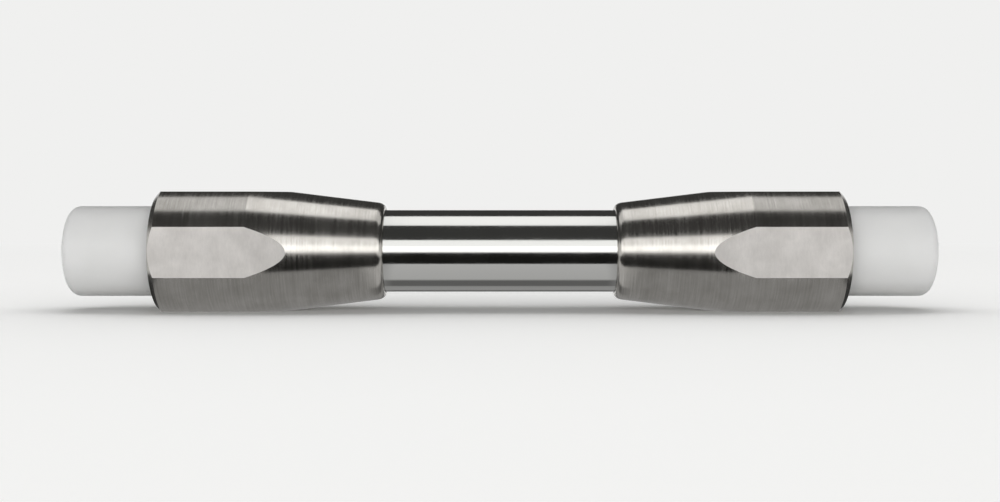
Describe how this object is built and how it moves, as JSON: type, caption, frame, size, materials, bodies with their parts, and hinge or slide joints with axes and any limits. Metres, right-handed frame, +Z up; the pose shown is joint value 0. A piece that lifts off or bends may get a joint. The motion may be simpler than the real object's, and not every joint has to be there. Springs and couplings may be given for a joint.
{
  "type": "hplc column",
  "caption": "Short packed steel column for liquid chromatography, with tapered end nuts, sealed frits and capillary ports closed by white plastic plugs.",
  "frame": {"origin": "middle of the column on its axis, which is also the middle of its box", "axes": "+X along the column towards the outlet, +Z up, +Y towards the back; the column lies on the lower spanner flats of its two end nuts"},
  "size_m": [0.0832, 0.0116, 0.0116],
  "materials": {
    "polished_steel": "polished stainless steel tube",
    "turned_steel": "turned and polished stainless steel with satin milled flats",
    "sintered_steel": "matte porous sintered stainless steel",
    "peek_plastic": "natural beige, matte",
    "ptfe_plastic": "waxy white",
    "white_plastic": "moulded white, satin",
    "packing_powder": "fine white powder, matte"
  },
  "bodies": {
    "column": {"column_tube": "polished_steel", "inlet_end_nut": "turned_steel", "inlet_fitting_adapter": "turned_steel", "inlet_frit": "sintered_steel", "inlet_frit_ring": "peek_plastic", "inlet_sealing_ring": "ptfe_plastic", "outlet_end_nut": "turned_steel", "outlet_fitting_adapter": "turned_steel", "outlet_frit": "sintered_steel", "outlet_frit_ring": "peek_plastic", "outlet_sealing_ring": "ptfe_plastic", "packed_bed": "packing_powder"},
    "inlet_plug": {"inlet_end_plug": "white_plastic"},
    "outlet_plug": {"outlet_end_plug": "white_plastic"}
  },
  "joints": [
    {"name": "inlet_plug_withdraw", "type": "slide", "parent": "column", "child": "inlet_plug", "axis": [-1, 0, 0], "range_m": [0, 0.009]},
    {"name": "outlet_plug_withdraw", "type": "slide", "parent": "column", "child": "outlet_plug", "axis": [1, 0, 0], "range_m": [0, 0.009]}
  ]
}
